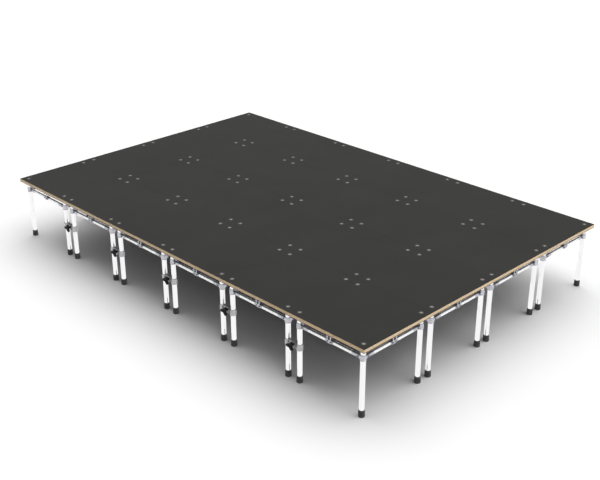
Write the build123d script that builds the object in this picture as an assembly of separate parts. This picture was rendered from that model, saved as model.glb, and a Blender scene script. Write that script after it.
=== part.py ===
from build123d import *
import os

# Modular stage: square lift-off deck boards on folding aluminium risers.
#
# Units are millimetres.  X runs along the long side of the stage, Y along the short
# side, Z is up, and the origin is on the floor under the middle of the stage.
#
# Every module is one board on a riser of four legs.  A riser's legs are joined by four
# rails.  Each rail is two halves that meet at a centre hinge and fold down, so that the
# four legs close up into a bundle.  The module at the +X, -Y corner is built in full, with
# one node for each moving piece.  The other risers stand open and hold the same pieces in
# a plainer form: each leg head is one solid with the rail ends that are pinned in it.

# ---- driving dimensions -------------------------------------------------------------
COLUMNS = 6                  # modules along X
ROWS = 4                     # modules along Y
MODULE = 1000                # module pitch
DECK_TOP = 800               # height of the standing surface

BOARD_GAP = 1                # joint between two boards
CORE_THICK = 38              # plywood core of a board
SKIN_THICK = 2               # anti-slip sheet on top of it

LEG_INSET = 82               # leg axis from the module's edges
TUBE_R = 27                  # leg tube
TUBE_WALL = 3.2
CAP_FLANGE = 2
FOOT_HEIGHT = 75
FOOT_SOLE = 12               # rubber below the tube's end
FOOT_TOP_R = 32
FOOT_BASE_R = 34.5
SLIP = 0.15                  # radial gap between parts that are pushed together

PLATE_SIZE = 104             # corner plate under the board
PLATE_THICK = 5
LIP_DEPTH = 25               # lips of the corner plate outside the leg
LIP_THICK = 4
LIP_GAP = 0.8
DISC_R = 22.5                # flush head of the corner bolt
DISC_THICK = 3
BOLT_R = 6

RAIL_Z = 652                 # height of the rails' pivots
RAIL_R = 20
RAIL_WALL = 2.5
PIVOT_OUT = 49               # rail pivot from the leg axis
HINGE_PITCH = 47             # between the two pivots of a centre hinge
TONGUE_HALF = 13             # half width of the tongue on a rail's end
TONGUE_R = 14                # rounded end of the tongue
EAR_GAP = 0.5                # between a tongue and the ears beside it
EAR_THICK = 6
SLEEVE_R = 21                # socket that holds the rail tube
SLEEVE_START = 30            # from the leg pivot to the socket
SLEEVE_END = 83
INNER_START = 20             # from the hinge pivot to the socket
INNER_END = 32
PIN_R = 5
PIN_HEAD_R = 8
PIN_HEAD = 3
RUNNING = 0.05               # radial clearance of a pin in a tongue

HEAD_R = 33                  # collar of a leg head
HEAD_BOTTOM = 624
HEAD_TOP = 686

HINGE_R = 18                 # round ends of the centre hinge
WEB_HALF = 8                 # web between its two cheeks
FINGER_WIDE = 12             # two uprights that steady the board at mid-span
FINGER_IN = 21.5             # their inner face, outside the rails
FINGER_THICK = 6
FINGER_X = 22
YOKE_LOW = 14                # bar that carries the two uprights
YOKE_HIGH = 24

COUPLER_Z = 408              # clamp that ties two neighbouring legs together
COUPLER_HEIGHT = 68
COUPLER_R = 34.5
COUPLER_SPLIT = 3            # gap between its two jaws
KNOB_R = 56
KNOB_THICK = 26
KNOB_Y = 42                  # from the leg axis to the back of the knob

# ---- worked out from those ----------------------------------------------------------
BOARD = MODULE - BOARD_GAP
BOARD_UNDER = DECK_TOP - CORE_THICK - SKIN_THICK
LEG_TOP = BOARD_UNDER - PLATE_THICK
LEG_PITCH = MODULE - 2 * LEG_INSET
HALF_RAIL = (LEG_PITCH - 2 * PIVOT_OUT - HINGE_PITCH) / 2
TUBE_START = SLEEVE_START + 8
TUBE_STOP = HALF_RAIL - INNER_START - 6
FINGER_OUT = FINGER_IN + FINGER_THICK
FINGER_TOP = BOARD_UNDER - 1 - RAIL_Z
EAR_IN = TONGUE_HALF + EAR_GAP
EAR_OUT = EAR_IN + EAR_THICK
LEG_PAIR = 2 * LEG_INSET     # between neighbouring legs of two modules

FOLDING = (COLUMNS - 1, 0)   # the module built as a mechanism


def cylinder(radius, low, high, x=0, y=0):
    """Upright cylinder between two heights."""
    return Pos(x, y, (low + high) / 2) * Cylinder(radius, high - low)


def block(x0, x1, y0, y1, z0, z1):
    """Box between two corners."""
    return Pos((x0 + x1) / 2, (y0 + y1) / 2, (z0 + z1) / 2) * Box(x1 - x0, y1 - y0, z1 - z0)


def cross_rod(radius, half, x=0, z=0):
    """Cylinder along Y, centred on Y = 0."""
    return Pos(x, 0, z) * Rot(90, 0, 0) * Cylinder(radius, 2 * half)


def long_rod(radius, start, end):
    """Cylinder along X on the axis."""
    return Pos((start + end) / 2, 0, 0) * Rot(0, 90, 0) * Cylinder(radius, end - start)


# ---- pieces, each at its own origin -------------------------------------------------
def leg_tube(top):
    outer = cylinder(TUBE_R, FOOT_SOLE, top)
    return outer - cylinder(TUBE_R - TUBE_WALL, FOOT_SOLE - 1, top + 1)


def leg_cap():
    """Plug in the top of the leg, with a flange on which the corner plate rests."""
    plug_r = TUBE_R - TUBE_WALL - SLIP
    flange = cylinder(TUBE_R, LEG_TOP - CAP_FLANGE, LEG_TOP)
    return flange + cylinder(plug_r, LEG_TOP - CAP_FLANGE - 20, LEG_TOP - CAP_FLANGE)


def foot():
    """Ribbed rubber foot, pushed over the end of the tube."""
    ribs = 4
    pitch = (FOOT_HEIGHT - 15) / ribs
    shape = Pos(0, 0, FOOT_HEIGHT / 2) * Cone(FOOT_BASE_R, FOOT_TOP_R, FOOT_HEIGHT)
    for i in range(ribs):
        low = 10 + i * pitch
        groove = cylinder(FOOT_BASE_R + 5, low, low + 5) - cylinder(FOOT_TOP_R - 0.8, low - 1, low + 6)
        shape = shape - groove
    return shape - cylinder(TUBE_R + SLIP, FOOT_SOLE, FOOT_HEIGHT + 1)


def ear_pair(reach, low, high):
    """Two ears with round ends about a pivot at (reach, 0, 0), from X = 0."""
    bar = block(0, reach, -EAR_OUT, EAR_OUT, low, high)
    ears = bar + cross_rod((high - low) / 2, EAR_OUT, reach, (high + low) / 2)
    return ears - block(-1, reach + high, -EAR_IN, EAR_IN, low - 5, high + 5)


def leg_head():
    """Collar on the leg with ears for the rail along +X and the rail along +Y."""
    shape = cylinder(HEAD_R, HEAD_BOTTOM, HEAD_TOP)
    ears = Pos(0, 0, RAIL_Z) * ear_pair(PIVOT_OUT, -TONGUE_R, TONGUE_R)
    for turn in (0, 90):
        shape = shape + Rot(0, 0, turn) * ears
    for turn in (0, 90):
        shape = shape - Rot(0, 0, turn) * cross_rod(PIN_R + SLIP, EAR_OUT + 1, PIVOT_OUT, RAIL_Z)
    return shape - cylinder(TUBE_R + SLIP, HEAD_BOTTOM - 1, HEAD_TOP + 1)


def open_leg_head():
    """Collar with both rail ends, of a riser that stays open."""
    shape = cylinder(HEAD_R, HEAD_BOTTOM, HEAD_TOP)
    start, end = PIVOT_OUT + SLEEVE_START, PIVOT_OUT + SLEEVE_END
    lug = block(0, start + 1, -EAR_OUT, EAR_OUT, -TONGUE_R, TONGUE_R) + long_rod(SLEEVE_R, start, end)
    for turn in (0, 90):
        shape = shape + Rot(0, 0, turn) * Pos(0, 0, RAIL_Z) * lug
    return shape - cylinder(TUBE_R + SLIP, HEAD_BOTTOM - 1, HEAD_TOP + 1)


def pin():
    """Pivot pin along Y with a head outside each ear."""
    shape = cross_rod(PIN_R, EAR_OUT + PIN_HEAD)
    for side in (-1, 1):
        shape = shape + Pos(0, side * (EAR_OUT + PIN_HEAD / 2), 0) * cross_rod(PIN_HEAD_R, PIN_HEAD / 2)
    return shape


def rail_end(start, end):
    """Tongue about a pivot at the origin, and the socket for the rail tube along +X."""
    tongue = cross_rod(TONGUE_R, TONGUE_HALF)
    tongue = tongue + block(0, start + 1, -TONGUE_HALF, TONGUE_HALF, -TONGUE_R, TONGUE_R)
    shape = tongue + long_rod(SLEEVE_R, start, end)
    return shape - cross_rod(PIN_R + RUNNING, TONGUE_HALF + 1)


def half_rail():
    """Half rail along +X from its leg pivot at the origin: tube, outer end and hinge end."""
    outer = rail_end(SLEEVE_START, SLEEVE_END) - long_rod(RAIL_R + SLIP, TUBE_START, SLEEVE_END + 1)
    inner = rail_end(INNER_START, INNER_END) - long_rod(RAIL_R + SLIP, INNER_START + 6, INNER_END + 1)
    start, end = TUBE_START + 0.5, TUBE_STOP - 0.5
    tube = long_rod(RAIL_R, start, end) - long_rod(RAIL_R - RAIL_WALL, start - 1, end + 1)
    return [tube, outer, Pos(HALF_RAIL, 0, 0) * Rot(0, 0, 180) * inner]


def hinge_cheek(y0, y1):
    """Plate with round ends about both pivots of a centre hinge."""
    reach, middle, thick = HINGE_PITCH / 2, (y0 + y1) / 2, (y1 - y0) / 2
    shape = block(-reach, reach, y0, y1, -HINGE_R, HINGE_R)
    for x in (-reach, reach):
        shape = shape + Pos(0, middle, 0) * cross_rod(HINGE_R, thick, x)
    return shape


def support_yoke():
    """Bar on the outer cheek with two uprights, clear of the rails when they fold."""
    shape = block(-WEB_HALF, WEB_HALF, -FINGER_OUT, -EAR_OUT + 1, -YOKE_LOW, YOKE_HIGH)
    reach = FINGER_X + FINGER_WIDE / 2
    shape = shape + block(-reach, reach, -FINGER_OUT, -FINGER_IN, YOKE_LOW, YOKE_HIGH)
    for x in (-FINGER_X, FINGER_X):
        shape = shape + block(x - FINGER_WIDE / 2, x + FINGER_WIDE / 2, -FINGER_OUT, -FINGER_IN,
                              YOKE_HIGH - 1, FINGER_TOP)
    return shape


def centre_hinge():
    """Two cheeks joined by a web, for the inner pivots of a rail, with the yoke on -Y."""
    shape = hinge_cheek(-EAR_OUT, -EAR_IN) + hinge_cheek(EAR_IN, EAR_OUT)
    shape = shape + block(-WEB_HALF, WEB_HALF, -EAR_IN - 1, EAR_IN + 1, -HINGE_R + 1, HINGE_R - 1)
    for x in (-HINGE_PITCH / 2, HINGE_PITCH / 2):
        shape = shape - cross_rod(PIN_R + SLIP, EAR_OUT + 1, x)
    return shape + support_yoke()


def open_hinge():
    """Centre hinge of a riser that stays open, in one piece with its pins."""
    return hinge_cheek(-EAR_OUT, EAR_OUT) + support_yoke()


def open_rail_tube():
    """Tube of a half rail of a riser that stays open, from its leg's socket to the centre hinge."""
    start, end = SLEEVE_END + 0.5, HALF_RAIL - HINGE_R - 0.5
    return long_rod(RAIL_R, start, end) - long_rod(RAIL_R - RAIL_WALL, start - 1, end + 1)


def hinge_pins():
    return [Pos(side * HINGE_PITCH / 2, 0, 0) * pin() for side in (-1, 1)]


def open_board():
    """Board of a riser that stays open, core and anti-slip sheet in one."""
    return block(-BOARD / 2, BOARD / 2, -BOARD / 2, BOARD / 2, BOARD_UNDER, DECK_TOP)


def board_core():
    shape = block(-BOARD / 2, BOARD / 2, -BOARD / 2, BOARD / 2, BOARD_UNDER, BOARD_UNDER + CORE_THICK)
    for sx, sy in CORNERS:
        x, y = sx * LEG_PITCH / 2, sy * LEG_PITCH / 2
        shape = shape - cylinder(BOLT_R + SLIP, BOARD_UNDER - 1, DECK_TOP, x, y)
        shape = shape - cylinder(DISC_R + SLIP, DECK_TOP - DISC_THICK, DECK_TOP, x, y)
    return shape


def board_skin():
    low = DECK_TOP - SKIN_THICK
    shape = block(-BOARD / 2, BOARD / 2, -BOARD / 2, BOARD / 2, low, DECK_TOP)
    for sx, sy in CORNERS:
        shape = shape - cylinder(DISC_R + SLIP, low - 1, DECK_TOP + 1, sx * LEG_PITCH / 2, sy * LEG_PITCH / 2)
    return shape


def corner_plate():
    """Plate under a corner of the board, with lips outside the leg on -X and -Y."""
    half, inner = PLATE_SIZE / 2, TUBE_R + LIP_GAP
    shape = block(-half, half, -half, half, LEG_TOP, BOARD_UNDER)
    lip = block(-inner - LIP_THICK, -inner, -inner - LIP_THICK, half, LEG_TOP - LIP_DEPTH, LEG_TOP + 1)
    shape = shape + lip + mirror(lip.rotate(Axis.Z, 90), about=Plane.YZ)
    return shape - cylinder(BOLT_R + SLIP, LEG_TOP - 1, BOARD_UNDER + 1)


def corner_bolt():
    """Bolt with a flush disc head, threaded into the corner plate."""
    shank = cylinder(BOLT_R, LEG_TOP + 1, DECK_TOP - DISC_THICK)
    return shank + cylinder(DISC_R, DECK_TOP - DISC_THICK, DECK_TOP)


def coupler_jaw():
    """Jaw on the -Y side of two legs, from a plate and two half collars."""
    half_z = COUPLER_HEIGHT / 2
    shape = block(-LEG_PAIR / 2, LEG_PAIR / 2, -15, 0, -half_z, half_z)
    for side in (-1, 1):
        shape = shape + cylinder(COUPLER_R, -half_z, half_z, side * LEG_PAIR / 2)
    shape = shape - block(-LEG_PAIR, LEG_PAIR, -COUPLER_SPLIT / 2, MODULE / 2, -half_z - 1, half_z + 1)
    for side in (-1, 1):
        shape = shape - cylinder(TUBE_R + SLIP, -half_z - 1, half_z + 1, side * LEG_PAIR / 2)
    return shape - cross_rod(BOLT_R + SLIP, MODULE / 2)


def coupler_bolt():
    """Draw bolt through both jaws, with a hexagon head at the back."""
    shank = Pos(0, (20 - KNOB_Y - 18) / 2, 0) * cross_rod(BOLT_R, (20 + KNOB_Y + 18) / 2)
    head = Pos(0, 15, 0) * Rot(-90, 0, 0) * extrude(RegularPolygon(10, 6), 8)
    return shank + head


def knob():
    """Three-lobed hand knob on the front end of the draw bolt, with a long hub."""
    lobes = Sketch() + Circle(KNOB_R * 0.36)
    for i in range(3):
        turn = Rot(0, 0, 65 + 120 * i)
        arm = Pos(KNOB_R * 0.36, 0) * Rectangle(KNOB_R * 0.72, KNOB_R * 0.42)
        lobes = lobes + turn * (arm + Pos(KNOB_R * 0.74, 0) * Circle(KNOB_R * 0.26))
    grip = Rot(90, 0, 0) * extrude(lobes, KNOB_THICK)
    shape = Pos(0, -KNOB_Y, 0) * grip
    hub_low = 15.5
    shape = shape + Pos(0, -(KNOB_Y + hub_low) / 2, 0) * cross_rod(14, (KNOB_Y - hub_low) / 2 + 0.5)
    return shape - Pos(0, -KNOB_Y + 10, 0) * cross_rod(BOLT_R + RUNNING, 30)


# ---- where things stand -------------------------------------------------------------
CORNERS = [(-1, -1), (1, -1), (-1, 1), (1, 1)]
CORNER_NAMES = {(-1, -1): "front_left", (1, -1): "front_right", (-1, 1): "back_left", (1, 1): "back_right"}
MODULES = [(i, j) for i in range(COLUMNS) for j in range(ROWS)]


def centre(module):
    """Centre of a module on the floor."""
    i, j = module
    return (i - (COLUMNS - 1) / 2) * MODULE, (j - (ROWS - 1) / 2) * MODULE


def at_leg(module, corner):
    """Location of a leg, turned so that +X and +Y point to its two neighbours."""
    cx, cy = centre(module)
    sx, sy = corner
    turn = {(-1, -1): 0, (1, -1): 90, (1, 1): 180, (-1, 1): 270}[corner]
    return Pos(cx + sx * LEG_PITCH / 2, cy + sy * LEG_PITCH / 2, 0) * Rot(0, 0, turn)


# A side runs from its first leg to its second.  Its rail is drawn along +X and turned.
SIDES = {"front": ((-1, -1), (1, -1), 0), "back": ((-1, 1), (1, 1), 0),
         "left": ((-1, -1), (-1, 1), 90), "right": ((1, -1), (1, 1), 90)}


def on_side(module, side, along):
    """Location on a side's rail, at a distance from the axis of its first leg."""
    (sx, sy), _, turn = SIDES[side]
    cx, cy = centre(module)
    start = Pos(cx + sx * LEG_PITCH / 2, cy + sy * LEG_PITCH / 2, RAIL_Z)
    return start * Rot(0, 0, turn) * Pos(along, 0, 0)


def rail_places(module, side):
    """Locations of a side's two half rails, each drawn from its leg's pivot."""
    far = on_side(module, side, LEG_PITCH - PIVOT_OUT) * Rot(0, 0, 180)
    return [on_side(module, side, PIVOT_OUT), far]


def hinge_place(module, side):
    """Location of a side's centre hinge, turned so that its yoke is outside."""
    return on_side(module, side, LEG_PITCH / 2) * Rot(0, 0, 180 if side in ("back", "left") else 0)


def leg_pins(module, corner):
    """The two pivot pins of a leg head."""
    place = at_leg(module, corner)
    return [place * Rot(0, 0, turn) * Pos(PIVOT_OUT, 0, RAIL_Z) * pin() for turn in (0, 90)]


# ---- files --------------------------------------------------------------------------
os.makedirs("parts", exist_ok=True)


def save(name, solids):
    """Write one node from a list of pieces."""
    flat = [solid for piece in solids for solid in piece.solids()]
    export_step(flat[0] if len(flat) == 1 else Compound(flat), f"parts/{name}.step")


# The module that folds.
home = Pos(*centre(FOLDING), 0)
save("lift_board_core", [home * board_core()])
save("lift_board_skin", [home * board_skin()])
save("lift_board_plates", [at_leg(FOLDING, corner) * corner_plate() for corner in CORNERS])
save("lift_board_bolts", [at_leg(FOLDING, corner) * corner_bolt() for corner in CORNERS])

leg_pieces = {"tube": leg_tube(LEG_TOP - CAP_FLANGE), "cap": leg_cap(), "foot": foot(), "head": leg_head()}
for corner in CORNERS:
    for piece, solid in leg_pieces.items():
        save(f"leg_{CORNER_NAMES[corner]}_{piece}", [at_leg(FOLDING, corner) * solid])
    save(f"leg_{CORNER_NAMES[corner]}_pins", leg_pins(FOLDING, corner))

rail_pieces, hinge, pins_of_hinge = half_rail(), centre_hinge(), hinge_pins()
for side in SIDES:
    for half, place in zip(("a", "b"), rail_places(FOLDING, side)):
        save(f"rail_{side}_{half}", [place * solid for solid in rail_pieces])
    save(f"hinge_{side}_block", [hinge_place(FOLDING, side) * hinge])
    save(f"hinge_{side}_pins", [hinge_place(FOLDING, side) * solid for solid in pins_of_hinge])

# The modules that stand open.
tube, head, rail, middle = leg_tube(BOARD_UNDER), open_leg_head(), open_rail_tube(), open_hinge()
sole = foot()
open_modules = [module for module in MODULES if module != FOLDING]
legs = [at_leg(module, corner) for module in open_modules for corner in CORNERS]
save("leg_tubes", [place * tube for place in legs])
save("leg_feet", [place * sole for place in legs])
save("leg_heads", [place * head for place in legs])
rails = [(module, side) for module in open_modules for side in SIDES]
save("rail_tubes", [place * rail for module, side in rails for place in rail_places(module, side)])
save("centre_hinges", [hinge_place(module, side) * middle for module, side in rails])
for j in range(ROWS):
    row = [module for module in open_modules if module[1] == j]
    save(f"deck_boards_row_{j + 1}", [Pos(*centre(module), 0) * open_board() for module in row])

# One coupler ties the two front legs at each joint of the long front side.
front_y = centre((0, 0))[1] - LEG_PITCH / 2
coupler_places = [Pos((i - COLUMNS / 2) * MODULE, front_y, COUPLER_Z) for i in range(1, COLUMNS)]
JAW, DRAW_BOLT, KNOB = coupler_jaw(), coupler_bolt(), knob()
save("coupler_front_jaws", [place * JAW for place in coupler_places])
save("coupler_back_jaws", [place * Rot(0, 0, 180) * JAW for place in coupler_places])
save("coupler_bolts", [place * DRAW_BOLT for place in coupler_places])
for number, place in enumerate(coupler_places, 1):
    save(f"coupler_knob_{number}", [place * KNOB])
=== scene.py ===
"""Looks for the modular stage: boards, folding risers, couplers, floor, light and camera.

Lengths are in metres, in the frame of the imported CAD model.  The CAD nodes give the
places.  Repeated pieces are drawn once and copied, all modules alike, and the pieces of
the folding module ride on its moving bodies.
"""

import math

import bmesh
import bpy
import numpy as np
from mathutils import Matrix, Vector


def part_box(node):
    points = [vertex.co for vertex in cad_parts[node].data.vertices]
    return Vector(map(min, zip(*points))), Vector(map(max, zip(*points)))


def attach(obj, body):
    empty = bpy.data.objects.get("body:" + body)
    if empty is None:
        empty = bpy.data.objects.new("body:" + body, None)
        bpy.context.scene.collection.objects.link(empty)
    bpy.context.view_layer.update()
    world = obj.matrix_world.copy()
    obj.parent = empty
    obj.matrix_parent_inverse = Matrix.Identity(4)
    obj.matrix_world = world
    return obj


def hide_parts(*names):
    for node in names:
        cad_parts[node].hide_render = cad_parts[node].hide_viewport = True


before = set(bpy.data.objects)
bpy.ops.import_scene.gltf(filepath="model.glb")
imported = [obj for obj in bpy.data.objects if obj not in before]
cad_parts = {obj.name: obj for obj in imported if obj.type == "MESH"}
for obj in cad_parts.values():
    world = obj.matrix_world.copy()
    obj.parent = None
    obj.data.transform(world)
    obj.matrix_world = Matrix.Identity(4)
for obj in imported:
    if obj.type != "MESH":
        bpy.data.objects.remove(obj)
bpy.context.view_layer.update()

# ---- sizes, from the frame and the driving dimensions of the design --------------------
COLUMNS, ROWS = 6, 4
MODULE = 1.0                              # pitch of the boards
FOLDING = (COLUMNS - 1, 0)                # column and row of the jointed module
CORNERS = {"front_left": (-1, -1), "front_right": (1, -1), "back_right": (1, 1), "back_left": (-1, 1)}

board_low, board_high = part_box("lift_board_core")
skin_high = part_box("lift_board_skin")[1]
BOARD = board_high.x - board_low.x
SKIN_THICK, FILM_THICK = 0.0007, 0.006    # anti-slip sheet, and the dark layer under a board, 6 mm deep, seen as a dark band at the foot of its edge
UNDER, CORE_TOP, TOP = board_low.z, skin_high.z - SKIN_THICK, skin_high.z
DISC_R = 0.0225
PLATE_HALF = 0.052

tube_low, tube_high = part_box("leg_front_left_tube")
foot_low, foot_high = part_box("leg_front_left_foot")
head_low, head_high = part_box("leg_front_left_head")
home_centre = (board_low + board_high) / 2
LEG_HALF = home_centre.x - (tube_low.x + tube_high.x) / 2    # from the middle of a board to a leg
TUBE_R, TUBE_WALL = (tube_high.x - tube_low.x) / 2, 0.0032
TUBE_BASE, TUBE_END = tube_low.z, tube_high.z
LEG_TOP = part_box("leg_front_left_cap")[1].z
FOOT_R, FOOT_TOP = (foot_high.x - foot_low.x) / 2, foot_high.z
HEAD_R, HEAD_LOW, HEAD_HIGH = 0.033, head_low.z, head_high.z

pin_low, pin_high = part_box("hinge_front_pins")
block_low, block_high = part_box("hinge_front_block")
RAIL_Z = (pin_low.z + pin_high.z) / 2
PIN_HEAD_R = (pin_high.z - pin_low.z) / 2
PIN_HALF = (pin_high.y - pin_low.y) / 2
HINGE_PITCH = pin_high.x - pin_low.x - 2 * PIN_HEAD_R
HINGE_R = RAIL_Z - block_low.z
EAR_OUT, EAR_IN = PIN_HALF - 0.003, PIN_HALF - 0.009
FINGER_TOP = block_high.z - RAIL_Z
FINGER_OUT = (pin_low.y + pin_high.y) / 2 - block_low.y

RAIL_R, RAIL_WALL = 0.020, 0.0025
SLEEVE_R = 0.021
PIVOT_OUT = 0.049                         # from a leg to the pivot of its rail
HALF_RAIL = (2 * LEG_HALF - 2 * PIVOT_OUT - HINGE_PITCH) / 2
SLEEVE_START, SLEEVE_END = 0.030, 0.083   # socket at the leg end, from the pivot
INNER_START, INNER_END = 0.020, 0.032     # socket at the hinge end, from the pivot
SOCKET_DEPTH = 0.006
TONGUE_HALF, TONGUE_R = 0.013, 0.014

jaw_low, jaw_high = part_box("coupler_front_jaws")
knob_low, knob_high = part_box("coupler_knob_1")
COUPLER_Z, COUPLER_HALF = (jaw_low.z + jaw_high.z) / 2, (jaw_high.z - jaw_low.z) / 2
COUPLER_R = 0.0345
LEG_PAIR_HALF = MODULE / 2 - LEG_HALF
FRONT_Y = tube_low.y + TUBE_R
KNOB_FRONT, KNOB_BACK = FRONT_Y - knob_low.y, FRONT_Y - knob_high.y

FIT = 0.0002                              # play between a tube and what is round it
SMOOTH_LIMIT = math.radians(35)           # sharper edges than this are drawn sharp


# ---- materials -------------------------------------------------------------------------
LOW, HIGH = 0.3, 0.7                      # a noise's values lie mostly between these


def node_material(name):
    mat = bpy.data.materials.new(name)
    mat.use_nodes = True
    return mat, mat.node_tree.nodes, mat.node_tree.links, mat.node_tree.nodes["Principled BSDF"]


def noise(nodes, links, scale, detail, stretch=(1, 1, 1), rough=0.55):
    """Noise in object space, stretched along the axes."""
    coords = nodes.new("ShaderNodeTexCoord")
    mapping = nodes.new("ShaderNodeMapping")
    mapping.inputs["Scale"].default_value = stretch
    links.new(coords.outputs["Object"], mapping.inputs["Vector"])
    tex = nodes.new("ShaderNodeTexNoise")
    tex.inputs["Scale"].default_value = scale
    tex.inputs["Detail"].default_value = detail
    tex.inputs["Roughness"].default_value = rough
    links.new(mapping.outputs["Vector"], tex.inputs["Vector"])
    return tex.outputs["Fac"]


def ramp(nodes, links, source, stops):
    """Colour ramp over a value; stops are (position, colour or grey)."""
    r = nodes.new("ShaderNodeValToRGB")
    while len(r.color_ramp.elements) < len(stops):
        r.color_ramp.elements.new(0.5)
    for element, (where, colour) in zip(r.color_ramp.elements, stops):
        element.position = where
        rgb = (colour,) * 3 if isinstance(colour, float) else colour
        element.color = (*rgb, 1)
    links.new(source, r.inputs["Fac"])
    return r.outputs["Color"]


def bump(nodes, links, source, shader, strength, distance):
    b = nodes.new("ShaderNodeBump")
    b.inputs["Strength"].default_value = strength
    b.inputs["Distance"].default_value = distance
    links.new(source, b.inputs["Height"])
    links.new(b.outputs["Normal"], shader.inputs["Normal"])


def metal(name, dark, light, rough, scale, stretch=(1, 1, 1), depth=0.0002, metallic=1.0):
    """Metal whose tone and roughness drift over the surface."""
    mat, nodes, links, shader = node_material(name)
    shader.inputs["Metallic"].default_value = metallic
    patches = noise(nodes, links, scale, 5.0, stretch)
    links.new(ramp(nodes, links, patches, [(LOW, dark), (HIGH, light)]), shader.inputs["Base Color"])
    roughness = ramp(nodes, links, patches, [(0.35, rough[0]), (0.65, rough[1])])
    links.new(roughness, shader.inputs["Roughness"])
    grain = noise(nodes, links, scale * 9, 3.0, stretch)
    bump(nodes, links, grain, shader, 0.25, depth)
    return mat


def deck_material():
    """Dark phenolic film with a fine anti-slip grain and faint scuffs."""
    mat, nodes, links, shader = node_material("deck_film")
    scuffs = noise(nodes, links, 1.7, 6.0)
    tones = [(LOW, (0.0250, 0.0253, 0.0235)), (HIGH, (0.0290, 0.0293, 0.0271))]
    links.new(ramp(nodes, links, scuffs, tones), shader.inputs["Base Color"])
    grain = noise(nodes, links, 420.0, 2.0)
    links.new(ramp(nodes, links, grain, [(LOW, 0.72), (HIGH, 0.86)]), shader.inputs["Roughness"])
    shader.inputs["Specular IOR Level"].default_value = 0.12
    bump(nodes, links, grain, shader, 0.5, 0.0006)
    return mat


def ply_material():
    """Lacquered plywood: veneers stacked along Z, with grain streaks inside each."""
    mat, nodes, links, shader = node_material("ply_edge")
    streaks = noise(nodes, links, 9.0, 6.0, (1.0, 1.0, 14.0), 0.7)
    wave = nodes.new("ShaderNodeTexWave")
    wave.wave_type, wave.bands_direction = "BANDS", "Z"
    for socket, value in (("Scale", 52.0), ("Distortion", 0.5), ("Detail", 3.0)):
        wave.inputs[socket].default_value = value
    coords = nodes.new("ShaderNodeTexCoord")
    links.new(coords.outputs["Object"], wave.inputs["Vector"])
    tones = [(0.15, (0.50, 0.33, 0.17)), (0.5, (0.73, 0.54, 0.32)), (0.85, (0.86, 0.69, 0.45))]
    veneers = ramp(nodes, links, wave.outputs["Fac"], tones)
    shade = ramp(nodes, links, streaks, [(LOW, 0.80), (HIGH, 1.0)])
    mix = nodes.new("ShaderNodeMix")
    mix.data_type, mix.blend_type = "RGBA", "MULTIPLY"
    mix.inputs["Factor"].default_value = 1.0
    links.new(veneers, mix.inputs["A"])
    links.new(shade, mix.inputs["B"])
    links.new(mix.outputs["Result"], shader.inputs["Base Color"])
    links.new(ramp(nodes, links, streaks, [(LOW, 0.45), (HIGH, 0.6)]), shader.inputs["Roughness"])
    bump(nodes, links, wave.outputs["Fac"], shader, 0.3, 0.0004)
    return mat


def moulded(name, colour, rough, scale, depth, spec=0.4):
    """Dark plastic, rubber or film with a fine grain and slightly greyer worn patches."""
    mat, nodes, links, shader = node_material(name)
    wear = noise(nodes, links, 22.0, 5.0)
    worn = tuple(c * 1.9 + 0.004 for c in colour)
    links.new(ramp(nodes, links, wear, [(0.45, colour), (0.75, worn)]), shader.inputs["Base Color"])
    grain = noise(nodes, links, scale, 2.0)
    roughness = ramp(nodes, links, grain, [(LOW, rough), (HIGH, rough + 0.12)])
    links.new(roughness, shader.inputs["Roughness"])
    shader.inputs["Specular IOR Level"].default_value = spec
    bump(nodes, links, grain, shader, 0.35, depth)
    return mat


TUBE = metal("bright_tube", (0.90, 0.90, 0.91), (0.97, 0.97, 0.97), (0.06, 0.13), 14.0,
             stretch=(1, 1, 0.12), depth=0.00004)
RAIL = metal("bright_rail", (0.93, 0.93, 0.94), (0.98, 0.98, 0.98), (0.20, 0.30), 14.0,
             depth=0.0001, metallic=0.75)
CAST = metal("satin_casting", (0.46, 0.46, 0.50), (0.62, 0.62, 0.66), (0.24, 0.38), 30.0, depth=0.0004)
CLAMP = metal("clamp_casting", (0.40, 0.40, 0.41), (0.52, 0.52, 0.53), (0.36, 0.52), 26.0, depth=0.0004)
STEEL = metal("black_bolt", (0.035, 0.035, 0.040), (0.075, 0.075, 0.085), (0.32, 0.48), 60.0)
DISC = metal("disc_face", (0.075, 0.075, 0.077), (0.115, 0.115, 0.118), (0.5, 0.62), 70.0,
             metallic=0.25)
PLATE = metal("zinc_plate", (0.40, 0.41, 0.43), (0.52, 0.53, 0.55), (0.35, 0.5), 25.0)
DECK = deck_material()
PLY = ply_material()
FILM = moulded("under_film", (0.018, 0.013, 0.010), 0.45, 60.0, 0.0003)
RUBBER = moulded("foot_rubber", (0.036, 0.036, 0.036), 0.55, 260.0, 0.0005)
PLASTIC = moulded("knob_plastic", (0.006, 0.006, 0.006), 0.5, 380.0, 0.0003, spec=0.2)


# ---- mesh helpers ----------------------------------------------------------------------
class Shape:
    """Points and faces of one or more closed shells."""

    def __init__(self):
        self.points, self.faces = [], []

    def add(self, points, faces):
        base = len(self.points)
        self.points += [tuple(p) for p in points]
        self.faces += [tuple(base + i for i in face) for face in faces]
        return self

    def merge(self, other, place=Matrix.Identity(4)):
        return self.add([place @ Vector(p) for p in other.points], other.faces)

    def mesh(self, name, places, material):
        """One mesh with a copy of the shape at each place."""
        co = np.array(self.points)
        homogeneous = np.c_[co, np.ones(len(co))]
        all_points, all_faces = [], []
        for place in places:
            base = len(all_points)
            all_points += (homogeneous @ np.array(place).T)[:, :3].tolist()
            all_faces += [tuple(base + i for i in face) for face in self.faces]
        mesh = bpy.data.meshes.new(name)
        mesh.from_pydata(all_points, [], all_faces)
        mesh.materials.append(material)
        mesh.update()
        return mesh


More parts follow.
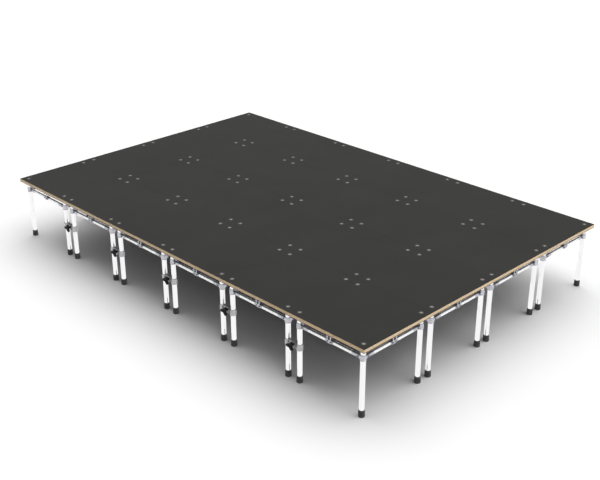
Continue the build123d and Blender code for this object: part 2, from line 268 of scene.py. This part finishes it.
def from_bmesh(bm):
    """Shape from a bmesh, its faces in a fixed order whatever order the operators left them in."""
    bm.verts.index_update()
    faces = []
    for face in bm.faces:
        ring = [v.index for v in face.verts]
        first = ring.index(min(ring))
        faces.append(ring[first:] + ring[:first])
    shape = Shape().add([v.co[:] for v in bm.verts], sorted(faces))
    bm.free()
    return shape


def lathe(profile, sides, closed=False):
    """Profile of (radius, height) points turned about Z; an open one is capped at both ends."""
    points, faces = [], []
    for radius, height in profile:
        for k in range(sides):
            a = 2 * math.pi * k / sides
            points.append((radius * math.cos(a), radius * math.sin(a), height))
    rings = len(profile)
    for i in range(rings if closed else rings - 1):
        j = (i + 1) % rings
        for k in range(sides):
            m = (k + 1) % sides
            faces.append((i * sides + k, i * sides + m, j * sides + m, j * sides + k))
    if not closed:
        faces.append(tuple(reversed(range(sides))))
        faces.append(tuple((rings - 1) * sides + k for k in range(sides)))
    return Shape().add(points, faces)


def slab(outline, low, high, bevel, steps=2):
    """Outline in XY between two heights, with rounded edges."""
    flat, sharp_angle = 1e-9, 0.6
    bm = bmesh.new()
    bottom = [bm.verts.new((x, y, low)) for x, y in outline]
    base = bm.faces.new(bottom)
    grown = bmesh.ops.extrude_face_region(bm, geom=[base])
    top = [v for v in grown["geom"] if isinstance(v, bmesh.types.BMVert)]
    bmesh.ops.translate(bm, verts=top, vec=(0, 0, high - low))
    bmesh.ops.recalc_face_normals(bm, faces=bm.faces)
    rims = [e for e in bm.edges if abs(e.verts[0].co.z - e.verts[1].co.z) < flat]
    sharp = [e for e in bm.edges if e not in rims and e.calc_face_angle(0) > sharp_angle]
    bmesh.ops.bevel(bm, geom=rims + sharp, offset=bevel, segments=steps, affect="EDGES", profile=0.6,
                    clamp_overlap=True)
    return from_bmesh(bm)


def brick(x0, x1, y0, y1, z0, z1, bevel):
    return slab([(x0, y0), (x1, y0), (x1, y1), (x0, y1)], z0, z1, bevel)


def square(half):
    return [(-half, -half), (half, -half), (half, half), (-half, half)]


def arc(cx, cy, radius, start, end, steps):
    """Points on an arc, angles in degrees."""
    out = []
    for k in range(steps + 1):
        a = math.radians(start + (end - start) * k / steps)
        out.append((cx + radius * math.cos(a), cy + radius * math.sin(a)))
    return out


Z_TO_X = Matrix.Rotation(math.radians(90), 4, "Y")          # lays a lathe along +X
Y_TO_Z = Matrix.Rotation(math.radians(90), 4, "X")          # stands a slab in XZ, a lathe along -Y


def turned(degrees):
    return Matrix.Rotation(math.radians(degrees), 4, "Z")


def moved(x=0.0, y=0.0, z=0.0):
    return Matrix.Translation((x, y, z))


def upright(outline, y0, y1, bevel):
    """Outline in XZ between two Y values."""
    return Shape().merge(slab(outline, -y1, -y0, bevel), Y_TO_Z)


def link(thing):
    bpy.context.scene.collection.objects.link(thing)


# ---- pieces, drawn at their own origin -------------------------------------------------
def pipe(radius, wall, start, end, edge, sides):
    """Open tube along Z with eased outer edges."""
    inner = radius - wall
    return lathe([(radius - edge, start), (radius, start + edge), (radius, end - edge),
                  (radius - edge, end), (inner, end), (inner, start)], sides, closed=True)


def leg_cap_shape():
    """Cap of a leg: a plug inside the tube and a rim with a rounded edge and a shallow dimple."""
    rim, plug = LEG_TOP - TUBE_END, TUBE_R - 0.0034
    depth, chamfer, edge, dimple = 0.02, 0.001, 0.0009, 0.008
    return lathe([(plug - chamfer, TUBE_END - depth), (plug, TUBE_END - depth + chamfer),
                  (plug, TUBE_END), (TUBE_R, TUBE_END), (TUBE_R, LEG_TOP - rim * 0.4),
                  (TUBE_R - edge, LEG_TOP), (dimple, LEG_TOP), (dimple - 0.001, LEG_TOP - 0.0008)],
                 sides=32)


def foot_shape():
    """Rubber foot: flared sole, four ribs, and a rolled lip round the tube."""
    ribs, low, high = 4, 0.012, FOOT_TOP - 0.010
    pitch, taper, groove_depth = (high - low) / ribs, 0.0022, 0.0026
    bore, lip = TUBE_R + FIT, TUBE_R + 0.0036
    outline = [(FOOT_R - 0.004, 0.0), (FOOT_R - 0.0015, 0.0008), (FOOT_R, 0.003), (FOOT_R, low - 0.002)]
    for i in range(ribs):
        base = low + i * pitch
        rib = FOOT_R - taper * (i + 1) / (ribs + 1)
        groove = rib - groove_depth
        steps = ((groove, 0.0), (groove, 0.30), (rib - 0.0005, 0.42), (rib, 0.55), (rib, 0.86),
                 (rib - 0.0006, 0.95))
        outline += [(radius, base + pitch * share) for radius, share in steps]
    outline += [(lip - 0.0006, high), (lip, FOOT_TOP - 0.004), (lip - 0.0010, FOOT_TOP),
                (TUBE_R + 2 * FIT, FOOT_TOP), (bore, FOOT_TOP - 0.001), (bore, TUBE_BASE),
                (0.004, TUBE_BASE)]
    return lathe(outline, sides=30)


def ear_outline(reach, half):
    """Ear from the leg to its round end about a pivot at (reach, 0)."""
    root, neck, flare = 0.020, 0.031, half * 1.25
    return ([(root, -flare), (neck, -half)] + arc(reach, 0, half, -90, 90, 10)
            + [(neck, half), (root, flare)])


def leg_head_shape():
    """Cast collar with rolled rims, two pairs of ears, ribs and a set screw boss."""
    bore, groove = TUBE_R + FIT, HEAD_R - 0.0014
    flare, low_rim, high_rim = bore + 0.0012, HEAD_R + 0.0006, HEAD_R + 0.0004
    shape = lathe([(bore, HEAD_LOW + 0.001), (flare, HEAD_LOW), (HEAD_R - 0.001, HEAD_LOW),
                   (low_rim, HEAD_LOW + 0.0014), (low_rim, HEAD_LOW + 0.006),
                   (groove, HEAD_LOW + 0.008), (groove, HEAD_HIGH - 0.009),
                   (high_rim, HEAD_HIGH - 0.007), (high_rim, HEAD_HIGH - 0.0015),
                   (HEAD_R - 0.0012, HEAD_HIGH), (flare, HEAD_HIGH), (bore, HEAD_HIGH - 0.001)],
                  sides=40, closed=True)
    ear = ear_outline(PIVOT_OUT, TONGUE_R)
    rib_root, rib_half = 0.020, 0.003
    rib = [(rib_root, TONGUE_R), (0.036, TONGUE_R - 0.002), (0.026, TONGUE_R + 0.018),
           (rib_root, TONGUE_R + 0.022)]
    for turn in (0, 90):
        place = turned(turn) @ moved(z=RAIL_Z)
        for side in (-1, 1):
            near, far = sorted((side * EAR_IN, side * EAR_OUT))
            shape.merge(upright(ear, near, far, bevel=0.0012), place)
        shape.merge(upright(rib, -rib_half, rib_half, bevel=0.001), place)
    boss_end, boss_z = 0.0325, (HEAD_LOW + HEAD_HIGH) / 2 + 0.006
    boss = lathe([(0.008, 0.022), (0.0085, 0.0300), (0.0075, boss_end), (0.0046, boss_end),
                  (0.0040, 0.0305)], sides=20)
    return shape.merge(boss, turned(225) @ moved(z=boss_z) @ Z_TO_X)


def pin_shape():
    """Pivot bolt along Y, with a washer and a domed hexagon-socket head outside each ear."""
    half, ear, washer, shank, socket = PIN_HALF, EAR_OUT, PIN_HEAD_R + 0.002, 0.0049, 0.0036
    head = lathe([(0.0005, ear), (washer, ear), (washer, ear + 0.0008), (PIN_HEAD_R, ear + 0.001),
                  (PIN_HEAD_R, ear + 0.0022), (PIN_HEAD_R - 0.0016, half), (socket, half),
                  (socket - 0.0004, half - 0.0012)], sides=20)
    shape = Shape().merge(lathe([(shank, -ear), (shank, ear)], sides=16), Y_TO_Z)
    return shape.merge(head, Y_TO_Z).merge(head, turned(180) @ Y_TO_Z)


def rail_end_shape(start, end):
    """Tongue about a pivot at the origin, a waisted neck, and the socket of the tube along +X."""
    neck, socket_floor = start + 0.002, start + SOCKET_DEPTH
    bore, waist = RAIL_R + 0.0001, SLEEVE_R - 0.0004
    outline = arc(0, 0, TONGUE_R, 90, 270, 10) + [(neck, -TONGUE_R), (neck, TONGUE_R)]
    shape = upright(outline, -TONGUE_HALF, TONGUE_HALF, bevel=0.0014)
    sleeve = lathe([(0.012, start), (SLEEVE_R - 0.002, start), (SLEEVE_R, neck), (SLEEVE_R, end - 0.006),
                    (waist, end - 0.0055), (waist, end - 0.001), (SLEEVE_R - 0.0008, end), (bore, end),
                    (bore, socket_floor), (0.004, socket_floor)], sides=32)
    return shape.merge(sleeve, Z_TO_X)


def leg_end_shape():
    """Leg end of a half rail, from its pivot at the origin, with the rivets that hold the tube."""
    shape, rivet_x, rivet_r = rail_end_shape(SLEEVE_START, SLEEVE_END), 0.062, 0.0038
    rivet = lathe([(rivet_r, 0.0), (rivet_r - 0.0001, SLEEVE_R + 0.0006),
                   (rivet_r - 0.0016, SLEEVE_R + 0.0012)], sides=12)
    for side in (90, -90):
        shape.merge(rivet, moved(x=rivet_x) @ turned(side) @ Z_TO_X)
    return shape


def hinge_end_shape():
    """Hinge end of a half rail, whose leg pivot is at the origin."""
    return Shape().merge(rail_end_shape(INNER_START, INNER_END), moved(x=HALF_RAIL) @ turned(180))


def rail_tube_shape():
    play = SOCKET_DEPTH + 0.0005
    start, end = SLEEVE_START + play, HALF_RAIL - INNER_START - play
    return Shape().merge(pipe(RAIL_R, RAIL_WALL, start, end, edge=0.0004, sides=40), Z_TO_X)


def hinge_shape():
    """Centre hinge: two rounded cheeks, a web, and a yoke with two uprights on -Y."""
    reach, r = HINGE_PITCH / 2, HINGE_R
    cheek = arc(-reach, 0, r, 90, 270, 12) + arc(reach, 0, r, -90, 90, 12)
    shape = upright(cheek, -EAR_OUT, -EAR_IN, bevel=0.0012)
    shape.merge(upright(cheek, EAR_IN, EAR_OUT, bevel=0.0012))
    web, low, high, lap = 0.008, 0.014, 0.024, 0.001
    shape.merge(brick(-web, web, -EAR_IN - lap, EAR_IN + lap, -r + lap, r - lap, bevel=0.0012))
    boss = [(-web, -low), (web, -low), (web, high - lap), (-web, high - lap)]
    shape.merge(upright(boss, -FINGER_OUT + 0.0003, -EAR_OUT + lap, bevel=0.0016))
    x, half, thick, nick, fillet, top = 0.022, 0.006, 0.006, 0.002, 0.008, FINGER_TOP
    yoke = [(-x - half, low), (x + half, low), (x + half, top - nick), (x + half - nick, top),
            (x - half + nick, top), (x - half, top - nick)]
    yoke += arc(x - half - fillet, high + fillet, fillet, 0, -90, 5)
    yoke += arc(-x + half + fillet, high + fillet, fillet, -90, -180, 5)
    yoke += [(-x + half, top - nick), (-x + half - nick, top), (-x - half + nick, top),
             (-x - half, top - nick)]
    return shape.merge(upright(yoke, -FINGER_OUT, thick - FINGER_OUT, bevel=0.0010))


def disc_shape():
    """Flush head of the corner bolt: rolled rim, dished face and hexagon socket."""
    bolt, low, dish, dish_z = 0.006, TOP - 0.003, 0.0085, TOP - 0.0006
    socket, socket_z = 0.0052, TOP - 0.0024
    return lathe([(bolt, UNDER - 0.003), (bolt, low), (DISC_R - 0.0004, low), (DISC_R, low + 0.0005),
                  (DISC_R, TOP - 0.0004), (DISC_R - 0.0005, TOP), (dish, TOP), (dish - 0.0005, dish_z),
                  (socket, dish_z), (socket - 0.0003, socket_z), (0.0005, socket_z)], sides=40)


def plate_shape():
    """Corner plate with two outer lips, drawn for a leg whose neighbours are along +X and +Y."""
    half, inner, outer = PLATE_HALF, TUBE_R + 0.0008, TUBE_R + 0.0048
    low, high = LEG_TOP - 0.025, LEG_TOP + 0.001
    shape = brick(-half, half, -half, half, LEG_TOP, UNDER, bevel=0.0012)
    shape.merge(brick(-outer, -inner, -outer, half, low, high, bevel=0.0010))
    shape.merge(brick(-outer, half, -outer, -inner, low, high, bevel=0.0010))
    screw_r, head_r, far, near = 0.0045, 0.0035, 0.038, -0.008
    screw = lathe([(screw_r, UNDER - 0.006), (screw_r, LEG_TOP - 0.0006), (head_r, LEG_TOP - 0.0022),
                   (0.002, LEG_TOP - 0.0022)], sides=14)
    for x, y in ((far, far), (far, near), (near, far)):
        shape.merge(screw, moved(x, y))
    return shape


def jaw_shape():
    """Front jaw of a coupler: half collars on both legs, a plate between them, ribs and rims."""
    pitch, gap, steps, plate = LEG_PAIR_HALF, 0.0015, 14, 0.015
    bore = TUBE_R + 0.00015
    dip = math.degrees(math.asin(gap / COUPLER_R))
    dip_in = math.degrees(math.asin(gap / bore))
    meet = math.degrees(math.asin(plate / COUPLER_R))
    outline = arc(-pitch, 0, COUPLER_R, 180 + dip, 360 - meet, steps)
    outline += arc(pitch, 0, COUPLER_R, 180 + meet, 360 - dip, steps)
    outline += arc(pitch, 0, bore, 360 - dip_in, 180 + dip_in, steps)
    outline += arc(-pitch, 0, bore, 360 - dip_in, 180 + dip_in, steps)
    shape = slab(outline, -COUPLER_HALF, COUPLER_HALF, bevel=0.0016)
    back, rim, rim_x, rib, rib_x = -0.012, 0.006, 0.055, 0.003, 0.030
    for z in (-COUPLER_HALF + 0.004, COUPLER_HALF - 0.010):
        shape.merge(brick(-rim_x, rim_x, -0.0205, back, z, z + rim, bevel=0.0014))
    low, high = -COUPLER_HALF + 0.006, COUPLER_HALF - 0.006
    for x in (-rib_x, rib_x):
        shape.merge(brick(x - rib, x + rib, -0.0195, back, low, high, bevel=0.0012))
    hole, boss_r, boss_y = 0.0068, 0.016, 0.0154
    boss = lathe([(hole, 0.012), (boss_r, 0.012), (boss_r, boss_y - 0.0002), (boss_r - 0.0015, boss_y),
                  (hole, boss_y)], sides=28)
    return shape.merge(boss, Y_TO_Z)


def draw_bolt_shape():
    """Draw bolt of a coupler, hexagon nut and washer at the back."""
    bolt, hole, nut_r, washer_r = 0.0059, 0.006, 0.0098, 0.0128
    nut_back, nut_front, washer_front = -0.0228, -0.0165, -0.0151
    shank = lathe([(bolt, -0.019), (bolt, KNOB_FRONT - 0.002), (0.0048, KNOB_FRONT - 0.0008)], sides=20)
    nut = lathe([(hole, nut_back), (nut_r - 0.0013, nut_back), (nut_r, nut_back + 0.0013),
                 (nut_r, nut_front), (hole, nut_front)], sides=6)
    washer = lathe([(hole, nut_front), (washer_r - 0.0003, nut_front), (washer_r, nut_front + 0.0007),
                    (washer_r - 0.0003, washer_front), (hole, washer_front)], sides=28)
    return Shape().merge(shank, Y_TO_Z).merge(nut, Y_TO_Z).merge(washer, Y_TO_Z)


def knob_shape():
    """Three-lobed hand knob: crowned grip, scalloped flanks and a stepped hub."""
    lobes, lobe_turn = 3, math.radians(65)
    reach, waist = (knob_high.z - knob_low.z) / 1.80, 0.021
    count, levels = 96, 14
    grip_back = 0.042
    thick = KNOB_FRONT - grip_back
    points, faces = [], []
    for i in range(levels):
        t = -1 + 2 * i / (levels - 1)
        swell = (1 - abs(t) ** 4.0) ** 0.5 if abs(t) < 1 else 0.0
        depth = grip_back + thick * (t + 1) / 2
        for k in range(count):
            a = 2 * math.pi * k / count
            lobe = (0.5 + 0.5 * math.cos(lobes * (a - lobe_turn))) ** 1.7
            radius = waist + (reach - waist) * lobe
            radius = radius * (0.86 + 0.14 * swell) - 0.002 * (1 - swell)
            points.append((radius * math.cos(a), -depth, radius * math.sin(a)))
    for i in range(levels - 1):
        for k in range(count):
            m = (k + 1) % count
            faces.append((i * count + k, (i + 1) * count + k, (i + 1) * count + m, i * count + m))
    faces.append(tuple(range(count)))
    faces.append(tuple(reversed([(levels - 1) * count + k for k in range(count)])))
    hole, hub_r, neck, cap_r = 0.0065, 0.014, 0.0125, 0.0135
    hub = lathe([(hole, KNOB_BACK), (hub_r - 0.001, KNOB_BACK), (hub_r, KNOB_BACK + 0.001),
                 (hub_r, KNOB_BACK + 0.006), (neck, KNOB_BACK + 0.008), (neck, grip_back + 0.004),
                 (hole, grip_back + 0.004)], sides=32)
    cap = lathe([(0.010, KNOB_FRONT - 0.004), (cap_r, KNOB_FRONT - 0.003), (cap_r, KNOB_FRONT - 0.0008),
                 (0.012, KNOB_FRONT)], sides=32)
    return Shape().add(points, faces).merge(hub, Y_TO_Z).merge(cap, Y_TO_Z)


def core_shape():
    """Plywood core with eased edges."""
    return slab(square(BOARD / 2), UNDER + FILM_THICK, CORE_TOP, bevel=0.0006)


def under_film_shape():
    """Dark layer on the underside of a board, 6 mm deep, and round its lower edge."""
    inset, lap = 0.0002, 0.0001
    return slab(square(BOARD / 2 - inset), UNDER, UNDER + FILM_THICK + lap, bevel=0.0004, steps=1)


def skin_shape():
    """Anti-slip sheet with round holes for the four corner discs."""
    hole, steps = DISC_R + 0.0006, 24
    low, high = CORE_TOP, TOP
    bm = bmesh.new()
    outer = [bm.verts.new((x, y, high)) for x, y in square(BOARD / 2)]
    edges = [bm.edges.new((outer[i], outer[(i + 1) % 4])) for i in range(4)]
    for sx, sy in CORNERS.values():
        circle = arc(sx * LEG_HALF, sy * LEG_HALF, hole, 0, 360, steps)[:-1]
        ring = [bm.verts.new((x, y, high)) for x, y in circle]
        edges += [bm.edges.new((ring[i], ring[(i + 1) % steps])) for i in range(steps)]
    bmesh.ops.triangle_fill(bm, use_beauty=True, edges=edges)
    for face in list(bm.faces):
        middle = face.calc_center_median().xy
        if any((middle - Vector(corner) * LEG_HALF).length < hole * 0.9 for corner in CORNERS.values()):
            bm.faces.remove(face)
    grown = bmesh.ops.extrude_face_region(bm, geom=list(bm.faces))
    lowered = [v for v in grown["geom"] if isinstance(v, bmesh.types.BMVert)]
    bmesh.ops.translate(bm, verts=lowered, vec=(0, 0, low - high))
    bmesh.ops.recalc_face_normals(bm, faces=bm.faces)
    return from_bmesh(bm)


# ---- placing ---------------------------------------------------------------------------
# Each side's rail runs from this leg, in this direction in degrees.
SIDES = {
    "front": ("front_left", 0),
    "back": ("back_left", 0),
    "left": ("front_left", 90),
    "right": ("front_right", 90),
}


def module_centre(i, j):
    return (i - (COLUMNS - 1) / 2) * MODULE, (j - (ROWS - 1) / 2) * MODULE


def on_leg(module, corner, height=0.0):
    """Place on the axis of a leg."""
    cx, cy = module_centre(*module)
    sx, sy = CORNERS[corner]
    return moved(cx + sx * LEG_HALF, cy + sy * LEG_HALF, height)


def at_leg(module, corner):
    """Place of a leg, turned so that +X and +Y point to its neighbours."""
    return on_leg(module, corner) @ turned(list(CORNERS).index(corner) * 90)


def on_side(module, side, along):
    """Place on a side's rail, at a distance from the axis of its first leg."""
    corner, turn = SIDES[side]
    return on_leg(module, corner, RAIL_Z) @ turned(turn) @ moved(x=along)


def half_rails(module, side):
    """Places of a side's two half rails, each drawn from its leg's pivot."""
    far_pivot = 2 * LEG_HALF - PIVOT_OUT
    return [on_side(module, side, PIVOT_OUT), on_side(module, side, far_pivot) @ turned(180)]


def hinge_at(module, side):
    """Place of a side's centre hinge, its yoke outside."""
    return on_side(module, side, LEG_HALF) @ turned(180 if side in ("back", "left") else 0)


def show(name, shape, places, body, material, replaces=()):
    """Adds one piece that rides on a body and stands for its CAD nodes."""
    mesh = shape.mesh(name, places, material)
    for polygon in mesh.polygons:
        polygon.use_smooth = True
    piece = bpy.data.objects.new(name, mesh)
    link(piece)
    bm = bmesh.new()
    bm.from_mesh(mesh)
    for edge in bm.edges:
        edge.smooth = len(edge.link_faces) == 2 and edge.calc_face_angle(0) < SMOOTH_LIMIT
    bm.to_mesh(mesh)
    bm.free()
    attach(piece, body)
    if replaces:
        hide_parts(*replaces)


MODULES = [(i, j) for i in range(COLUMNS) for j in range(ROWS)]
OPEN = [m for m in MODULES if m != FOLDING]
MOVING_LEGS = [c for c in CORNERS if c != "front_left"]
open_legs = [at_leg(m, c) for m in OPEN for c in CORNERS]
home_leg = at_leg(FOLDING, "front_left")
home = moved(*module_centre(*FOLDING))

# Boards
core, film, skin = core_shape(), under_film_shape(), skin_shape()
disc, plate = disc_shape(), plate_shape()
for j in range(ROWS):
    row = [moved(*module_centre(*m)) for m in OPEN if m[1] == j]
    show(f"board_cores_row_{j + 1}", core, row, "stage", PLY, [f"deck_boards_row_{j + 1}"])
    show(f"board_faces_row_{j + 1}", skin, row, "stage", DECK)
    show(f"board_undersides_row_{j + 1}", film, row, "stage", FILM)
show("board_discs", disc, open_legs, "stage", DISC)
show("board_corner_plates", plate, open_legs, "stage", PLATE)
lift_legs = [at_leg(FOLDING, c) for c in CORNERS]
show("lift_board", core, [home], "lift_board", PLY, ["lift_board_core"])
show("lift_board_underside", film, [home], "lift_board", FILM)
show("lift_board_face", skin, [home], "lift_board", DECK, ["lift_board_skin"])
show("lift_board_discs", disc, lift_legs, "lift_board", DISC, ["lift_board_bolts"])
show("lift_board_corner_plates", plate, lift_legs, "lift_board", PLATE,
     ["lift_board_plates"])

# Legs
leg_pins = Shape()
for turn in (0, 90):
    leg_pins.merge(pin_shape(), turned(turn) @ moved(PIVOT_OUT, 0, RAIL_Z))
leg_tube = pipe(TUBE_R, TUBE_WALL, TUBE_BASE, TUBE_END, edge=0.0006, sides=48)
LEG_SHAPES = {
    "tube": (leg_tube, TUBE, "tube_aluminium"),
    "cap": (leg_cap_shape(), PLASTIC, "black_plastic"),
    "foot": (foot_shape(), RUBBER, "foot_rubber"),
    "head": (leg_head_shape(), CAST, "cast_aluminium"),
    "pins": (leg_pins, STEEL, "zinc_steel"),
}
OPEN_NODES = {"tube": ["leg_tubes"], "foot": ["leg_feet"], "head": ["leg_heads"]}
for part, (shape, material, slot) in LEG_SHAPES.items():
    show(f"open_leg_{part}s", shape, open_legs, "stage", material, OPEN_NODES.get(part, ()))
    show(f"fixed_leg_{part}", shape, [home_leg], "stage", material, [f"leg_front_left_{part}"])
    for corner in MOVING_LEGS:
        place, body = at_leg(FOLDING, corner), f"leg_{corner}"
        show(f"folding_leg_{corner}_{part}", shape, [place], body, material,
             [f"leg_{corner}_{part}"])

# Rails
tube, leg_end, hinge_end, hinge = rail_tube_shape(), leg_end_shape(), hinge_end_shape(), hinge_shape()
hinge_pins = Shape()
for side in (-1, 1):
    hinge_pins.merge(pin_shape(), moved(x=side * HINGE_PITCH / 2))
rail_places = [place for m in OPEN for side in SIDES for place in half_rails(m, side)]
hinge_places = [hinge_at(m, side) for m in OPEN for side in SIDES]
show("open_rail_tubes", tube, rail_places, "stage", RAIL, ["rail_tubes"])
show("open_rail_leg_ends", leg_end, rail_places, "stage", CAST)
show("open_rail_hinge_ends", hinge_end, rail_places, "stage", CAST)
show("open_centre_hinges", hinge, hinge_places, "stage", CAST, ["centre_hinges"])
show("open_hinge_pins", hinge_pins, hinge_places, "stage", STEEL)
for side in SIDES:
    for half, place in zip("ab", half_rails(FOLDING, side)):
        body = f"rail_{side}_{half}"
        show(f"{body}_tube", tube, [place], body, RAIL, [body])
        show(f"{body}_leg_end", leg_end, [place], body, CAST)
        show(f"{body}_hinge_end", hinge_end, [place], body, CAST)
    place, body = hinge_at(FOLDING, side), f"hinge_{side}"
    show(f"hinge_{side}_casting", hinge, [place], body, CAST, [f"hinge_{side}_block"])
    show(f"hinge_{side}_bolts", hinge_pins, [place], body, STEEL, [f"hinge_{side}_pins"])

# Couplers
couplers = [moved((i - COLUMNS / 2) * MODULE, FRONT_Y, COUPLER_Z) for i in range(1, COLUMNS)]
back_places = [place @ turned(180) for place in couplers]
jaw, knob = jaw_shape(), knob_shape()
show("coupler_jaws_front", jaw, couplers, "stage", CLAMP, ["coupler_front_jaws"])
show("coupler_jaws_back", jaw, back_places, "stage", CLAMP, ["coupler_back_jaws"])
show("coupler_draw_bolts", draw_bolt_shape(), couplers, "stage", STEEL, ["coupler_bolts"])
for number, place in enumerate(couplers, 1):
    show(f"hand_knob_{number}", knob, [place], f"knob_{number}", PLASTIC,
         [f"coupler_knob_{number}"])


# ---- floor, light, camera --------------------------------------------------------------
FLOOR_HALF = 60.0
# Brightness of the soft light by the angle in degrees from its middle.
SKY = [(0, 0.90), (15, 1.0), (30, 0.96), (40, 0.50), (50, 0.16), (60, 0.10), (70, 0.16), (80, 0.02),
       (90, 0.0)]
SKY_MIDDLE, SKY_WIDEN, SKY_STRENGTH = (-0.08, 0.32, 0.94), (0.55, 1.0, 1.0), 2.12
# Whiteness of the walls that reflections see, by how far up the direction points.
WALLS = [(0.45, 1.0), (0.65, 0.0)]
FILL_ENERGY, FILL_SPREAD, FILL_DIRECTION = 0.85, math.radians(8), (-1.0, -0.1, -0.04)
SENSOR, LENS, CLIP_END = 36.0, 59.77, 200
CAMERA_AT = (8.128, -7.890, 5.528)
CAMERA_AZIMUTH, CAMERA_DOWN = math.radians(45.337), math.radians(24.945)


def floor():
    mat, nodes, links, shader = node_material("studio_floor")
    soft = noise(nodes, links, 0.6, 3.0)
    links.new(ramp(nodes, links, soft, [(LOW, 0.895), (HIGH, 0.905)]), shader.inputs["Base Color"])
    shader.inputs["Roughness"].default_value = 0.9
    shader.inputs["Specular IOR Level"].default_value = 0.0
    mesh = bpy.data.meshes.new("studio_floor")
    mesh.from_pydata([(x, y, 0) for x, y in square(FLOOR_HALF)], [], [(0, 1, 2, 3)])
    mesh.materials.append(mat)
    plane = bpy.data.objects.new("studio_floor", mesh)
    plane.visible_glossy = False
    link(plane)


def math_node(nodes, links, operation, first, second):
    """Result of an operation on a socket and a second socket or number."""
    node = nodes.new("ShaderNodeMath")
    node.operation = operation
    links.new(first, node.inputs[0])
    if isinstance(second, float):
        node.inputs[1].default_value = second
    else:
        links.new(second, node.inputs[1])
    return node.outputs["Value"]


def sky_brightness(nodes, links, direction):
    """Brightness of the soft light, a ramp over the cosine of the angle from its middle."""
    widen = nodes.new("ShaderNodeMapping")
    widen.inputs["Scale"].default_value = SKY_WIDEN
    links.new(direction, widen.inputs["Vector"])
    unit = nodes.new("ShaderNodeVectorMath")
    unit.operation = "NORMALIZE"
    links.new(widen.outputs["Vector"], unit.inputs[0])
    facing = nodes.new("ShaderNodeVectorMath")
    facing.operation = "DOT_PRODUCT"
    facing.inputs[1].default_value = Vector(SKY_MIDDLE).normalized()
    links.new(unit.outputs["Vector"], facing.inputs[0])
    stops = [(math.cos(math.radians(angle)), level) for angle, level in SKY[::-1]]
    return ramp(nodes, links, facing.outputs["Value"], stops)


def studio():
    """Wide soft light from above and behind, weaker towards the front.

    The camera sees a white background, and so do the reflections low down, until the
    light has been scattered by a matt surface.
    """
    world = bpy.data.worlds.new("studio")
    bpy.context.scene.world = world
    bpy.context.scene.view_settings.view_transform = "Standard"
    world.use_nodes = True
    nodes, links = world.node_tree.nodes, world.node_tree.links
    direction = nodes.new("ShaderNodeTexCoord").outputs["Generated"]
    sky = nodes["Background"]
    links.new(sky_brightness(nodes, links, direction), sky.inputs["Color"])
    sky.inputs["Strength"].default_value = SKY_STRENGTH
    room = nodes.new("ShaderNodeBackground")
    room.inputs["Color"].default_value = (1, 1, 1, 1)
    path = nodes.new("ShaderNodeLightPath")
    unscattered = math_node(nodes, links, "LESS_THAN", path.outputs["Diffuse Depth"], 0.5)
    height = nodes.new("ShaderNodeSeparateXYZ")
    links.new(direction, height.inputs["Vector"])
    low_down = ramp(nodes, links, height.outputs["Z"], WALLS)
    walls = math_node(nodes, links, "MULTIPLY", low_down, unscattered)
    white = math_node(nodes, links, "MAXIMUM", walls, path.outputs["Is Camera Ray"])
    mix = nodes.new("ShaderNodeMixShader")
    links.new(white, mix.inputs["Fac"])
    links.new(sky.outputs["Background"], mix.inputs[1])
    links.new(room.outputs["Background"], mix.inputs[2])
    links.new(mix.outputs["Shader"], nodes["World Output"].inputs["Surface"])


def aim(thing, direction):
    """Points a light or a camera along a direction."""
    thing.rotation_mode = "QUATERNION"
    thing.rotation_quaternion = direction.to_track_quat("-Z", "Y")
    link(thing)


def side_light():
    """Low, weak fill on the faces towards +X."""
    data = bpy.data.lights.new("side_light", "SUN")
    data.energy, data.angle = FILL_ENERGY, FILL_SPREAD
    aim(bpy.data.objects.new("side_light", data), Vector(FILL_DIRECTION))


def camera():
    data = bpy.data.cameras.new("camera")
    data.sensor_width, data.lens, data.clip_end = SENSOR, LENS, CLIP_END
    view = bpy.data.objects.new("camera", data)
    view.location = CAMERA_AT
    level = math.cos(CAMERA_DOWN)
    aim(view, Vector((-math.sin(CAMERA_AZIMUTH) * level, math.cos(CAMERA_AZIMUTH) * level,
                      -math.sin(CAMERA_DOWN))))
    bpy.context.scene.camera = view


floor()
studio()
side_light()
camera()
